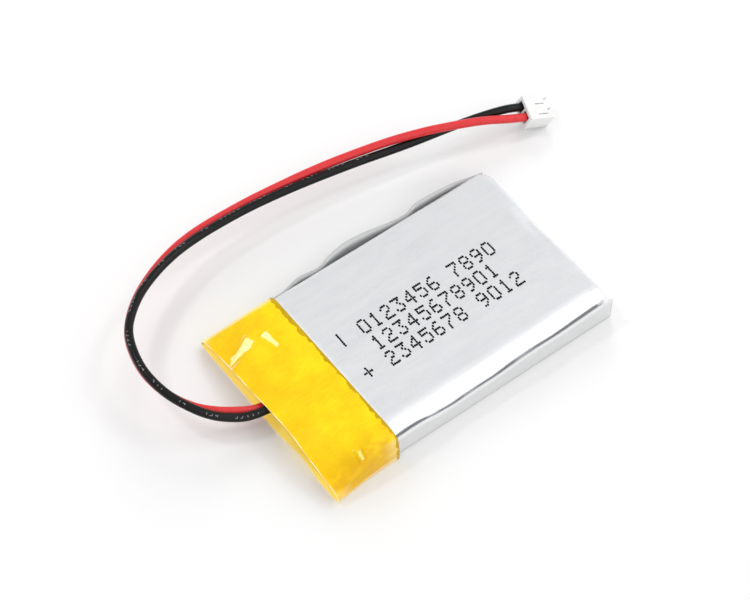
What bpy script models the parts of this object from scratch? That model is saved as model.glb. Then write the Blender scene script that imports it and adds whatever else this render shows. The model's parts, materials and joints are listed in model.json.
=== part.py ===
"""Single-cell lithium pouch battery pack: laminate pouch, wound electrodes, protection board under an
amber tape band, and two leads to a small white two-way plug.

Metres, +Z up. +X runs from the taped end to the folded foot, +Y across the cell towards the side where
the leads run. The origin is the middle of the underside of the pack without its leads.
"""

from math import cos, pi, radians, sin

import bpy
from mathutils import Matrix, Vector

MM = 0.001

# ---- driving sizes, in millimetres ----
CELL_Y = -0.35  # the pouch sits this far off the middle: its far seam stands out further
POUCH_TOP = 5.95  # outer face of the printed side
FOOT_X = 27.74  # middle of the laminate at the folded foot
CUP_BACK_X = -18.6  # middle of the drawn wall at the taped end
SEAL_END_X = -23.2  # cut end of the flat seal under the board
CUP_HALF = 16.1  # half width of the drawn cup
CORNER = 2.4  # plan radius of the cup
SHOULDER_IN = 1.9  # rounded shoulder, measured inwards
SHOULDER_DOWN = 1.5  # and downwards
FOIL = 0.12  # laminate thickness
TAPE_EDGE_X = -15.45  # edge of the tape on the pouch
STEP_X = -15.15  # the pouch is pressed in from here under the tape
MOUTH_X = -27.8  # open end of the tape
TAPE = 0.08
WIRE_D = 1.44
STRAND_D = 0.6
PITCH = 2.0  # contact pitch in the plug
PLUG_L, PLUG_W, PLUG_T = 4.8, 4.8, 3.2
PLUG_CORNER = (44.4, 19.7, 0.0)  # lowest corner of the plug, resting on the surface
PLUG_TURN = (14.0, 20.0, -12.0)  # roll, nose down, yaw, in degrees

# free edge of the folded seam: (x, height, how far it stands out)
NEAR_SEAM = [
    (-18, 4.2, 0), (-15.4, 5.1, 0), (-11, 5.1, 0.05), (-8, 4.6, 0.1), (-4.5, 3.9, 0.05), (-1, 4.3, 0.1),
    (4, 4.2, 0.05), (10, 5.0, 0.1), (16.5, 4.6, 0.05), (22, 5.0, 0.05), (27, 5.2, 0),
]
FAR_SEAM = [
    (-18, 4.0, 0), (-15.2, 4.2, 0.0), (-10.5, 4.2, 0.4), (-5, 4.2, 0.5), (-1, 4.3, 1.3), (3, 4.3, 1.8),
    (7, 4.2, 1.3), (12.5, 4.2, 0.9), (15, 4.3, 1.0), (20, 4.3, 0.85), (24, 4.2, 0.4), (27, 4.0, 0.1),
]

# route of the lead pair: x, y, z of the middle, half the spacing, turn of the black lead round the red one
LEAD_ROUTE = [
    (-24.0, 0.9, 2.75, 1.00, 180),
    (-26.9, 0.9, 3.0, 0.76, 150),
    (-29.5, 1.2, 3.4, 0.75, 155),
    (-31.9, 2.0, 4.0, 0.75, 166),
    (-35.0, 3.8, 5.0, 0.75, 154),
    (-37.5, 6.5, 5.9, 0.75, 128),
    (-39.4, 10.6, 6.6, 0.75, 112),
    (-40.0, 15.8, 7.2, 0.75, 99),
    (-38.7, 21.3, 7.5, 0.75, 88),
    (-36.1, 25.0, 7.5, 0.75, 75),
    (-31.6, 28.5, 7.2, 0.75, 60),
    (-25.3, 31.3, 6.8, 0.75, 40),
    (-18.5, 32.8, 6.3, 0.75, 22),
    (-9.3, 33.1, 5.8, 0.75, 16),
    (-0.8, 32.5, 5.5, 0.75, 4),
    (7.4, 31.4, 5.3, 0.76, -18),
    (15.5, 29.8, 5.2, 0.76, -32),
    (23.4, 27.8, 5.2, 0.75, -80),
    (28.6, 26.3, 5.2, 0.75, -118),
    (33.8, 24.7, 5.0, 0.80, -155),
    (38.1, 23.3, 4.4, 0.95, -188),
]
LEAD_POINTS = 48


def make(name, verts, faces, colour, metal=0.0, rough=0.45, smooth=False):
    """A mesh object from millimetre points, with its own material."""
    mesh = bpy.data.meshes.new(name)
    mesh.from_pydata([Vector(v) * MM for v in verts], [], faces)
    mesh.update()
    mesh.polygons.foreach_set("use_smooth", [smooth] * len(mesh.polygons))
    mesh.materials.append(plain(name, colour, metal, rough))
    obj = bpy.data.objects.new(name, mesh)
    bpy.context.scene.collection.objects.link(obj)
    return obj


def plain(name, colour, metal, rough):
    mat = bpy.data.materials.new(name)
    mat.use_nodes = True
    shader = mat.node_tree.nodes["Principled BSDF"]
    shader.inputs["Base Color"].default_value = (*colour, 1.0)
    shader.inputs["Metallic"].default_value = metal
    shader.inputs["Roughness"].default_value = rough
    return mat


def solidify(obj, thickness, offset=0.0):
    mod = obj.modifiers.new("thickness", "SOLIDIFY")
    mod.thickness = thickness * MM
    mod.offset = offset
    mod.use_even_offset = True
    return obj


def bevel(obj, width, segments=2):
    mod = obj.modifiers.new("edges", "BEVEL")
    mod.width = width * MM
    mod.segments = segments
    mod.limit_method = "ANGLE"
    return obj


def block(name, low, high, colour, metal=0.0, rough=0.45, edge=0.0):
    (x0, y0, z0), (x1, y1, z1) = low, high
    verts = [(x, y, z) for z in (z0, z1) for y in (y0, y1) for x in (x0, x1)]
    faces = [(0, 2, 3, 1), (4, 5, 7, 6), (0, 1, 5, 4), (2, 6, 7, 3), (0, 4, 6, 2), (1, 3, 7, 5)]
    obj = make(name, verts, faces, colour, metal, rough)
    return bevel(obj, edge) if edge else obj


def subtract(obj, cutter):
    cutter.hide_render = True
    cutter.display_type = "WIRE"
    mod = obj.modifiers.new("cut", "BOOLEAN")
    mod.operation = "DIFFERENCE"
    mod.solver = "EXACT"
    mod.object = cutter


def between(table, x):
    """Straight-line reading of a table of (x, values...)."""
    if x <= table[0][0]:
        return table[0][1:]
    for low, high in zip(table, table[1:]):
        if x <= high[0]:
            t = (x - low[0]) / (high[0] - low[0])
            return [a + t * (b - a) for a, b in zip(low[1:], high[1:])]
    return table[-1][1:]


def ribbon(name, path, thickness, span, colour, metal=0.0, rough=0.45, across="y"):
    """A flat strip of even thickness following a path; span is its two edges on the other axis.

    across="y": the path is (x, z) points. across="x": the path is (y, z) points.
    """
    left, right = [], []
    for i, point in enumerate(path):
        here = Vector(point)
        before = (here - Vector(path[i - 1])).normalized() if i else None
        after = (Vector(path[i + 1]) - here).normalized() if i + 1 < len(path) else None
        run = ((before or after) + (after or before)).normalized()
        side = Vector((-run.y, run.x))
        reach = thickness / 2 / max(0.5, side.dot(Vector((-(after or before).y, (after or before).x))))
        left.append(here + side * reach)
        right.append(here - side * reach)
    outline = left + right[::-1]
    count, total = len(path), 2 * len(path)
    verts = [((p.x, s, p.y) if across == "y" else (s, p.x, p.y)) for s in span for p in outline]
    faces = []
    for i in range(total):
        j = (i + 1) % total
        faces.append((i, j, j + total, i + total))
    for i in range(count - 1):
        a, b, c, d = i, i + 1, total - 2 - i, total - 1 - i
        faces.append((a, d, c, b))
        faces.append((a + total, b + total, c + total, d + total))
    return outward(make(name, verts, faces, colour, metal, rough))


def outward(obj):
    """Turns the faces round when the closed mesh has come out inside out."""
    mesh = obj.data
    volume = 0.0
    for face in mesh.polygons:
        corners = [mesh.vertices[i].co for i in face.vertices]
        for b, c in zip(corners[1:], corners[2:]):
            volume += corners[0].dot(b.cross(c))
    if volume < 0:
        mesh.flip_normals()
    return obj


# ---- pouch: drawn cup with its seal flanges ----

SIDE_X = [-16.2, -15.3, -15.0, -13.5, -11, -8.5, -6.5, -4.5, -2.5, -0.5, 1.5, 3.5, 5.5, 7.5, 10, 12.5, 15,
          17.5, 20, 22, 24, 25.34]


def cup_outline():
    """Points round the cup in plan: (corner centre, outward direction, tag, turn through a corner)."""
    back, foot, half = CUP_BACK_X + CORNER, FOOT_X - CORNER, CUP_HALF - CORNER
    across = [half * t for t in (0.75, 0.4, 0.0, -0.4, -0.75)]
    arc = [18, 36, 54, 72]
    points = [((x, half), (0, 1), "far", 1) for x in SIDE_X]
    points += [((foot, half), (sin(radians(a)), cos(radians(a))), "foot_far", 1 - a / 90) for a in arc]
    points += [((foot, half), (1, 0), "foot", 0)]
    points += [((foot, y), (1, 0), "foot", 0) for y in across]
    points += [((foot, -half), (1, 0), "foot", 0)]
    points += [((foot, -half), (cos(radians(a)), -sin(radians(a))), "foot_near", a / 90) for a in arc]
    points += [((x, -half), (0, -1), "near", 1) for x in reversed(SIDE_X)]
    points += [((back, -half), (-sin(radians(a)), -cos(radians(a))), "back_near", 1 - a / 90) for a in arc]
    points += [((back, -half), (-1, 0), "back", 0)]
    points += [((back, y), (-1, 0), "back", 0) for y in reversed(across)]
    points += [((back, half), (-1, 0), "back", 0)]
    points += [((back, half), (-cos(radians(a)), sin(radians(a))), "back_far", a / 90) for a in arc]
    return points


def seam_flange(tag, x, turn, first):
    """Three points of the seal flange beyond the cup wall, as (outwards, height)."""
    if tag in ("near", "far"):
        height, lean = between(NEAR_SEAM if tag == "near" else FAR_SEAM, x)
        return [(0.2, first), (0.4 + 0.04 * lean, first + 0.25), (0.4 + 0.42 * lean, 0.5 * height),
                (0.4 + lean, height - 0.08)]
    if tag == "foot":
        return [(0, 0.42), (0, 0.3), (0, 0.18), (0, 0.06)]
    if tag == "back":
        flat = 0.6
        return [(0.35, flat + 0.02), (1.6, flat), (3.0, flat), (CUP_BACK_X - SEAL_END_X, flat)]
    at_back = tag.startswith("back")
    angle = radians(90 * turn if at_back else 180 * turn - 90)
    base = first + (0.16 * (1 - turn) if at_back else 0.0)
    step = 0.16
    rise = step * sin(angle) * (1 if turn > 0.5 else 0.5)
    run = step * cos(angle) + 0.06 * turn
    return [(0.1 + 0.1 * turn + run * k, base + rise * k) for k in range(4)]


def pouch_cup():
    outline = cup_outline()
    drawn = [(SHOULDER_IN, 0.0)]
    drawn += [(SHOULDER_IN * (1 - sin(radians(a))), SHOULDER_DOWN * (1 - cos(radians(a)))) for a in (30, 60, 90)]
    rings = []
    for inset, drop in drawn:
        ring = []
        for (cx, cy), (ox, oy), _, _ in outline:
            x, y = cx + ox * (CORNER - inset), cy + oy * (CORNER - inset)
            press = 0.1 if x < STEP_X else 0.0
            ring.append((x, y + CELL_Y, POUCH_TOP - FOIL / 2 - drop - press))
        rings.append(ring)
    flange = [[] for _ in range(5)]
    for (cx, cy), (ox, oy), tag, turn in outline:
        x, y = cx + ox * CORNER, cy + oy * CORNER + CELL_Y
        first = 0.48 if x < STEP_X else 0.36
        foot = 0.55 if tag == "foot" else 0.9
        flange[0].append((x, y, foot))
        for ring, (out, height) in zip(flange[1:], seam_flange(tag, x, turn, first)):
            ring.append((x + ox * out, y + oy * out, height))
    rings += flange
    size = len(outline)
    verts = [v for ring in rings for v in ring]
    faces = []
    for r in range(len(rings) - 1):
        for i in range(size):
            j = (i + 1) % size
            faces.append((r * size + i, r * size + j, (r + 1) * size + j, (r + 1) * size + i))
    # the flat top: one face over the open pouch, a step under the tape edge, one face under the tape
    side = len(SIDE_X)
    near_first = side + 4 + 7 + 4
    near = [near_first + side - 1 - k for k in range(side)]  # near-side point level with far-side point k
    free = SIDE_X.index(-15.0)
    faces.append([*range(near[free], free - 1, -1)])
    faces.append([near[free], near[free - 1], free - 1, free][::-1])
    faces.append([*range(size - 1, near[free - 1] - 1, -1), *range(free - 1, -1, -1)])
    obj = make("pouch_cup", verts, faces, (0.78, 0.79, 0.81), 0.9, 0.35, smooth=True)
    return solidify(obj, FOIL)


def pouch_cover():
    """The flat half of the laminate, folded up outside the cup's seam on both long sides."""
    stations = [SEAL_END_X, -20.5, -18.4, -16.9] + SIDE_X[:-1] + [25.3, 26.4, 27.45]
    rows = []
    for x in stations:
        low = 0.18 if x < STEP_X else 0.06
        near_h, near_lean = between(NEAR_SEAM, x)
        far_h, far_lean = between(FAR_SEAM, x)
        if x < -16.3 or x > 26:
            near_h, far_h, near_lean, far_lean = 0.7, 0.7, 0, 0
        half = CUP_HALF + 0.66
        row = [(half + far_lean, far_h), (half + 0.42 * far_lean, 0.5 * far_h + 0.1),
               (half + 0.05 * far_lean, low + 0.36), (half - 0.1, low + 0.1), (half - 0.35, low),
               (half * 0.5, low), (-half * 0.5, low), (-half + 0.35, low), (-half + 0.1, low + 0.1),
               (-half - 0.05 * near_lean, low + 0.36), (-half - 0.42 * near_lean, 0.5 * near_h + 0.1),
               (-half - near_lean, near_h)]
        rows.append([(x, y + CELL_Y, z) for y, z in row])
    size = len(rows[0])
    verts = [v for row in rows for v in row]
    faces = []
    for r in range(len(rows) - 1):
        for i in range(size - 1):
            a = r * size + i
            faces.append((a, a + 1, a + 1 + size, a + size))
    obj = make("pouch_cover", verts, faces, (0.76, 0.77, 0.79), 0.9, 0.35, smooth=True)
    return solidify(obj, FOIL)


# ---- wound electrodes ----

ROLL_Z = 3.0
ROLL_HALF = 13.4  # half length of the straight part of each turn
ROLL_CORE = 0.3
LAYER, LAYER_STEP = 0.1, 0.14
HALF_TURNS = 6


def wound(name, order, x0, x1, colour, metal, rough):
    """One layer of the flattened winding: half turns at each end joined by straight runs."""
    path = []
    for half_turn in range(HALF_TURNS):
        side = ROLL_HALF if half_turn % 2 == 0 else -ROLL_HALF
        for k in range(7):
            angle = radians(-90 + 180 * half_turn + 30 * k)
            radius = ROLL_CORE + LAYER_STEP * (order + 2 * (half_turn + k / 6))
            path.append((CELL_Y + side + radius * cos(angle), ROLL_Z + radius * sin(angle)))
    return ribbon(name, path, LAYER, (x0, x1), colour, metal, rough, across="x")


def electrodes():
    wound("anode_foil", 0, -17.1, 26.1, (0.09, 0.09, 0.1), 0.3, 0.6)
    wound("separator_inner", 1, -17.6, 26.6, (0.9, 0.9, 0.88), 0.0, 0.5)
    wound("cathode_foil", 2, -17.0, 26.0, (0.16, 0.15, 0.16), 0.3, 0.6)
    wound("separator_outer", 3, -17.6, 26.6, (0.9, 0.9, 0.88), 0.0, 0.5)
    top = ROLL_Z + ROLL_CORE + LAYER_STEP * (3 + 2 * HALF_TURNS) + LAYER
    block("roll_end_tape", (-14, CELL_Y - 8, top), (14, CELL_Y + 4, top + 0.06), (0.16, 0.5, 0.3), 0.0, 0.3)


# ---- tabs, seal films, board and parts ----

TAB_Y = 9.5
BOARD = (-23.6, -19.6, 13.0, 1.33, 1.93)  # x from, x to, half width, underside, top


def terminals():
    for name, side, colour in (("positive", -1, (0.8, 0.81, 0.83)), ("negative", 1, (0.62, 0.6, 0.56))):
        y = CELL_Y + side * TAB_Y
        path = [(-17.75, 3.0), (-18.1, 2.85), (-18.25, 2.5), (-18.25, 0.75), (-18.4, 0.45), (-18.7, 0.39),
                (-23.9, 0.39), (-24.25, 0.55), (-24.32, 0.85), (-24.32, 1.75)]
        ribbon(f"{name}_tab", path, 0.08, (y - 2.0, y + 2.0), colour, 0.95, 0.3)
        film(f"{name}_tab_film", y)
        strip = [(-21.4, 2.02), (-23.85, 2.02), (-24.12, 1.9), (-24.18, 1.6), (-24.18, 0.75)]
        ribbon(f"{name}_strip", strip, 0.1, (y - 1.5, y + 1.5), (0.66, 0.64, 0.6), 0.95, 0.3)


def film(name, y):
    """The sealing film: a flat sleeve round the tab where it passes between the two laminate layers."""
    outer, inner = ((2.7, 0.27, 0.51), (2.08, 0.32, 0.46))
    rings = []
    for half, low, high in (outer, inner):
        rings.append([(y - half, low), (y + half, low), (y + half, high), (y - half, high)])
    verts = [(x, py, pz) for x in (-23.6, -18.85) for ring in rings for py, pz in ring]
    faces = []
    for i in range(4):
        j = (i + 1) % 4
        faces += [(i, j, 4 + j, 4 + i), (8 + j, 8 + i, 12 + i, 12 + j), (j, i, 8 + i, 8 + j),
                  (4 + i, 4 + j, 12 + j, 12 + i)]
    return outward(make(name, verts, faces, (0.85, 0.8, 0.62), 0.0, 0.3))


def board():
    x0, x1, half, low, top = BOARD
    face = top + 0.02
    black, grey, tan = (0.03, 0.03, 0.035), (0.12, 0.12, 0.13), (0.55, 0.43, 0.28)
    pad_half = 12.4
    block("insulation_pad", (-23.4, CELL_Y - pad_half, 0.7), (-19.5, CELL_Y + pad_half, 1.28), (0.2, 0.2, 0.2),
          0.0, 0.9)
    block("board", (x0, CELL_Y - half, low), (x1, CELL_Y + half, top), (0.05, 0.28, 0.14), 0.0, 0.4)
    block("protection_ic", (-23.2, -5.9, face), (-21.6, -3.0, face + 1.0), black, 0.0, 0.5, 0.06)
    block("dual_mosfet", (-23.3, 3.9, face), (-20.4, 6.9, face + 0.95), black, 0.0, 0.5, 0.06)
    block("resistor_a", (-20.9, -5.6, face), (-20.1, -4.0, face + 0.4), grey, 0.0, 0.5, 0.04)
    block("resistor_b", (-20.9, -3.4, face), (-20.1, -1.8, face + 0.4), grey, 0.0, 0.5, 0.04)
    block("capacitor", (-23.2, -2.6, face), (-22.4, -1.0, face + 0.7), tan, 0.0, 0.5, 0.05)
    for name, y in (("red", 1.9), ("black", -0.1)):
        dome(f"solder_{name}", (-22.3, y, face), 0.95, 0.8, 0.44)


def dome(name, base, rx, ry, height):
    """Half an ellipsoid standing on its flat side, with the middle of that side at base."""
    rings, steps = 4, 16
    x, y, z = base
    verts = []
    for r in range(rings):
        rise = radians(90 * r / rings)
        for i in range(steps):
            round_angle = 2 * pi * i / steps
            verts.append((x + rx * cos(rise) * cos(round_angle), y + ry * cos(rise) * sin(round_angle),
                          z + height * sin(rise)))
    verts.append((x, y, z + height))
    faces = [list(range(steps))[::-1]]
    for r in range(rings - 1):
        for i in range(steps):
            j = (i + 1) % steps
            faces.append((r * steps + i, r * steps + j, (r + 1) * steps + j, (r + 1) * steps + i))
    last = (rings - 1) * steps
    faces += [(last + i, last + (i + 1) % steps, len(verts) - 1) for i in range(steps)]
    return make(name, verts, faces, (0.75, 0.75, 0.76), 0.9, 0.3, smooth=True)


# ---- tape band: a sleeve, round the pouch at one end and flattened to an open mouth at the other ----

# mouth outline, (y, z), from the far fold over the top to the near fold and back underneath
MOUTH_TOP = [
    (17.7, 1.25), (16.4, 2.1), (14.4, 2.75), (12.2, 3.2), (8.9, 3.7), (5.8, 3.85), (3.8, 3.95), (0.9, 4.4),
    (-1.0, 4.6), (-4.1, 4.85), (-6.6, 4.8), (-8.6, 4.3), (-10.4, 3.8), (-13.8, 3.2), (-16.2, 2.75), (-17.6, 2.3),
]
MOUTH_BOTTOM = [
    (-17.6, 0.35), (-15.7, 0.06), (-12.9, 0.2), (-11.4, 0.8), (-9.6, 1.35), (-8.0, 1.4), (-6.4, 1.1),
    (-4.5, 0.5), (-1.5, 0.1), (1.7, 0.06), (4.5, 0.06), (7.5, 0.06), (11.4, 0.06), (14.7, 0.06), (17.2, 0.1),
]
MOUTH_FAR = [(18.15, 0.2), (18.38, 0.45), (18.15, 0.8)]
MOUTH_NEAR = [(-18.15, 1.95), (-18.38, 1.3), (-18.15, 0.7)]


def body_outline():
    """Outline of the tape where it grips the pouch, with the same number of points as the mouth."""
    half, top, low, r = CUP_HALF + 1.0, POUCH_TOP + 0.01, 0.04, 1.2
    over = [half - r * (1 - cos(radians(60))), half - r * (1 - cos(radians(90)))]
    rise = [top - r * (1 - sin(radians(60))), top]
    n_top, n_bottom = len(MOUTH_TOP), len(MOUTH_BOTTOM)
    upper = [(over[0], rise[0])]
    upper += [(over[1] + (-2 * over[1]) * k / (n_top - 3), top) for k in range(n_top - 2)]
    upper += [(-over[0], rise[0])]
    lower = [(-half + 0.3 + (2 * half - 0.6) * k / (n_bottom - 1), low) for k in range(n_bottom)]
    shoulder = half - r * (1 - cos(radians(30)))
    far = [(half, 0.35), (half, 2.4), (shoulder, top - r * (1 - sin(radians(30))))]
    near = [(-shoulder, top - r * (1 - sin(radians(30)))), (-half, 2.4), (-half, 0.35)]
    return [(y + CELL_Y, z) for y, z in far + upper + near + lower]


def tape_wrap():
    mouth = MOUTH_FAR + MOUTH_TOP + MOUTH_NEAR + MOUTH_BOTTOM
    body = body_outline()
    stations = [(TAPE_EDGE_X, 0.0), (-16.9, 0.0), (-18.4, 0.03), (-20.2, 0.16), (-22.2, 0.37), (-24.4, 0.62),
                (-26.3, 0.84), (MOUTH_X, 1.0)]
    verts = []
    size = len(mouth)
    under = size - len(MOUTH_BOTTOM)
    for x, t in stations:
        for i, ((by, bz), (my, mz)) in enumerate(zip(body, mouth)):
            lift = t ** 6 if i >= under else t  # the crease underneath is only at the open end
            verts.append((x, by + (my - by) * t, bz + (mz - bz) * lift))
    faces = []
    for r in range(len(stations) - 1):
        for i in range(size):
            j = (i + 1) % size
            faces.append((r * size + i, (r + 1) * size + i, (r + 1) * size + j, r * size + j))
    obj = make("tape_wrap", verts, faces, (0.95, 0.72, 0.05), 0.0, 0.2, smooth=True)
    return solidify(obj, TAPE)


# ---- leads and plug ----

def smooth_route(table, count):
    """Evenly numbered points on the smooth curve through the rows of a table."""
    out = []
    spans = len(table) - 1
    for k in range(count):
        u = spans * k / (count - 1)
        i = min(int(u), spans - 1)
        t = u - i
        p = [table[max(i - 1, 0)], table[i], table[i + 1], table[min(i + 2, spans)]]
        out.append([0.5 * (2 * b + (c - a) * t + (2 * a - 5 * b + 4 * c - d) * t * t
                           + (3 * b - a - 3 * c + d) * t ** 3) for a, b, c, d in zip(*p)])
    return out


def plug_frame():
    """Where the plug lies, as a turn and the middle of its rear face.

    Its x runs towards the mating face, its y across the contacts and its z out of its top.
    """
    roll, nose, yaw = (radians(a) for a in PLUG_TURN)
    turn = Matrix.Rotation(yaw, 3, "Z") @ Matrix.Rotation(nose, 3, "Y") @ Matrix.Rotation(roll, 3, "X")
    origin = Vector(PLUG_CORNER) + turn @ Vector((-PLUG_L, PLUG_W / 2, PLUG_T / 2))
    return turn, origin


def lead_paths():
    turn, origin = plug_frame()
    entry = origin + turn @ Vector((-0.9, 0, 0))
    inside = origin + turn @ Vector((0.45, 0, 0))
    table = LEAD_ROUTE + [(*entry, PITCH / 2, -193), (*inside, PITCH / 2, -193)]
    middle = smooth_route(table, LEAD_POINTS)
    black, red = [], []
    for i, (x, y, z, half, angle) in enumerate(middle):
        here = Vector((x, y, z))
        ahead = Vector(middle[min(i + 1, len(middle) - 1)][:3])
        behind = Vector(middle[max(i - 1, 0)][:3])
        run = (ahead - behind).normalized()
        side = run.cross(Vector((0, 0, 1))).normalized()
        up = side.cross(run)
        offset = (side * cos(radians(angle)) + up * sin(radians(angle))) * half
        black.append(here + offset)
        red.append(here - offset)
    for path, sign in ((black, 1), (red, -1)):
        path[-1] = inside + turn @ Vector((0, sign * PITCH / 2, 0))
    return black, red


def tube(name, points, diameter, colour, metal, rough):
    curve = bpy.data.curves.new(name, "CURVE")
    curve.dimensions = "3D"
    curve.bevel_depth = diameter / 2 * MM
    curve.bevel_resolution = 2
    curve.use_fill_caps = True
    curve.render_resolution_u = 0
    spline = curve.splines.new("POLY")
    spline.points.add(len(points) - 1)
    for slot, point in zip(spline.points, points):
        slot.co = (*(Vector(point) * MM), 1.0)
        slot.radius = 1.0
    spline.use_smooth = True
    curve.materials.append(plain(name, colour, metal, rough))
    obj = bpy.data.objects.new(name, curve)
    bpy.context.scene.collection.objects.link(obj)
    return obj


def leads():
    turn, _ = plug_frame()
    ahead = turn @ Vector((1, 0, 0))
    tin = (0.78, 0.72, 0.66)
    colours = {"black": (0.02, 0.02, 0.02), "red": (0.7, 0.03, 0.03)}
    for name, path in zip(("black", "red"), lead_paths()):
        tube(f"{name}_lead", path, WIRE_D, colours[name], 0.0, 0.35)
        at_board = [path[0] + Vector((0.04, 0, 0)), path[0] + Vector((2.6, 0, 0))]
        at_plug = [path[-1] + ahead * 0.04, path[-1] + ahead * 1.3]
        tube(f"{name}_strands_board", at_board, STRAND_D, tin, 0.9, 0.3)
        tube(f"{name}_strands_plug", at_plug, STRAND_D, tin, 0.9, 0.3)


def plug():
    turn, origin = plug_frame()
    place = Matrix.Translation(origin * MM) @ turn.to_4x4()
    half_w, half_t = PLUG_W / 2, PLUG_T / 2
    nylon = (0.93, 0.93, 0.92)
    housing = block("plug_housing", (0, -half_w, -half_t), (PLUG_L, half_w, half_t), nylon, 0, 0.35, 0.12)
    housing.matrix_world = place
    past = PLUG_L + 0.5
    for colour, y in (("black", PITCH / 2), ("red", -PITCH / 2)):
        cuts = {
            "lead": ((-0.5, y - 0.8, -0.95), (1.2, y + 0.8, 0.95)),
            "contact": ((0.9, y - 0.62, -0.72), (past, y + 0.62, 0.72)),
            "notch": ((3.85, y - 0.5, 0.5), (past, y + 0.5, half_t + 0.5)),
            "slit": ((1.8, y - 0.62, 0.5), (4.1, y - 0.44, half_t + 0.5)),
        }
        for use, (low, high) in cuts.items():
            cutter = block(f"{use}_cut_{colour}", low, high, nylon)
            subtract(housing, cutter)
            cutter.matrix_world = place
        contact(f"crimp_contact_{colour}", y).matrix_world = place


def contact(name, y):
    """Crimp contact: a square sleeve, gripping the strands at the back and taking the pin at the front."""
    rings = [[(y + a * h, b * h) for a, b in ((-1, -1), (1, -1), (1, 1), (-1, 1))] for h in (0.52, 0.36)]
    verts = [(x, py, pz) for x in (0.75, 4.6) for ring in rings for py, pz in ring]
    faces = []
    for i in range(4):
        j = (i + 1) % 4
        faces += [(i, j, 4 + j, 4 + i), (8 + j, 8 + i, 12 + i, 12 + j), (j, i, 8 + i, 8 + j),
                  (4 + i, 4 + j, 12 + j, 12 + i)]
    return outward(make(name, verts, faces, (0.8, 0.76, 0.66), 0.95, 0.25))


def main():
    for obj in list(bpy.data.objects):
        bpy.data.objects.remove(obj, do_unlink=True)
    pouch_cup()
    pouch_cover()
    electrodes()
    terminals()
    board()
    tape_wrap()
    leads()
    plug()


main()
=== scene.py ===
"""Looks of the lithium polymer pouch battery pack: satin foil pouch, amber tape band, printed digits,
a red and a black lead and the small white two-way plug, on a pale floor under soft studio light.

Sizes are in millimetres in the CAD's frame and multiplied by MM: +X from the taped end to the folded
foot, +Y towards the side where the leads run, +Z out of the printed face.
"""

import json
from math import cos, exp, hypot, pi, radians, sin, sqrt
from random import Random

import bmesh
import bpy
from mathutils import Matrix, Vector


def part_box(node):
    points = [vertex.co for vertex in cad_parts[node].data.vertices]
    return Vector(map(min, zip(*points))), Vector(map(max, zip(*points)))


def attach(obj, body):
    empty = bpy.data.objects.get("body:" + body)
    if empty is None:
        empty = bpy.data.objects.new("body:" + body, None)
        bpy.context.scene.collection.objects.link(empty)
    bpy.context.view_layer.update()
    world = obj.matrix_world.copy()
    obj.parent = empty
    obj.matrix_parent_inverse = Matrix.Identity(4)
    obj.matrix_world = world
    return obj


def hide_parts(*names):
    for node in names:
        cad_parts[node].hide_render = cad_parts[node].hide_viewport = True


MM = 0.001

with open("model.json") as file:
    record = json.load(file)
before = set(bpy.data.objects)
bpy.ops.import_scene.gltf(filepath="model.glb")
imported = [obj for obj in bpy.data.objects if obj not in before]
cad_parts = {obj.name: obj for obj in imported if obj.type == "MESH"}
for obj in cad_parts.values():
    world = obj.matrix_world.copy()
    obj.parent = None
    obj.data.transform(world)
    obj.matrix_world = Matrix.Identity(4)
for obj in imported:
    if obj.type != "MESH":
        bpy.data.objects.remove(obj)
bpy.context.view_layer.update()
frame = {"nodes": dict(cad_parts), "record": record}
nodes = frame["nodes"]


def cad(node):
    """Lowest and highest corner of a CAD node, in millimetres."""
    low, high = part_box(node)
    return low / MM, high / MM


TAPE_LOW, TAPE_HIGH = cad("tape_wrap")

# ---- sizes shared with the CAD, in millimetres and degrees ----
POUCH_TOP = cad("pouch_cup")[1].z
FOOT_X = 27.74  # outside of the folded foot
CUP_BACK_X = -18.6  # wall at the taped end
SEAL_END_X = -23.2  # end of the flat seal behind it
CELL_Y, CUP_HALF = -0.35, 16.1  # middle line and half width of the cup
CORNER = 2.4  # radius of its corners in plan
SHOULDER_IN, SHOULDER_DOWN = 2.2, 1.7  # size of the rounding between face and wall
FOIL = 0.12
TAPE_EDGE_X, MOUTH_X = TAPE_HIGH.x, TAPE_LOW.x
TAPE = 0.1
WIRE_D = 1.44
PITCH = 2.0  # between the plug's contacts
PLUG_L, PLUG_W, PLUG_T = 4.8, 4.8, 3.2
PLUG_CORNER = (44.4, 19.7, 0.0)
PLUG_TURN = (14.0, 20.0, -12.0)  # roll, nose down, yaw

# free edges of the folded seams: (x, height, how far it stands out)
NEAR_SEAM = [
    (-18, 3.8, 0), (-16.6, 4.1, 0), (-15.2, 4.9, 0.04), (-11, 5.0, 0.05), (-8, 4.5, 0.1), (-4.5, 4.1, 0.05),
    (-1, 4.35, 0.1), (4, 4.3, 0.05), (10, 4.85, 0.1), (16.5, 4.7, 0.05), (22, 5.0, 0.05), (27, 5.2, 0),
]
FAR_SEAM = [
    (-18, 4.0, 0), (-15.2, 4.2, 0), (-12.9, 4.2, 0.1), (-9.3, 4.2, 0.9), (-5.7, 4.2, 0.5), (-2.9, 4.2, 1.4),
    (0.9, 4.3, 1.95), (5.3, 4.3, 1.5), (8.6, 4.2, 0.9), (12.1, 4.2, 0.6), (14.5, 4.3, 1.3), (18.5, 4.3, 1.25),
    (22.5, 4.2, 0.9), (25, 4.1, 0.3), (27, 4.0, 0),
]

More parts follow.
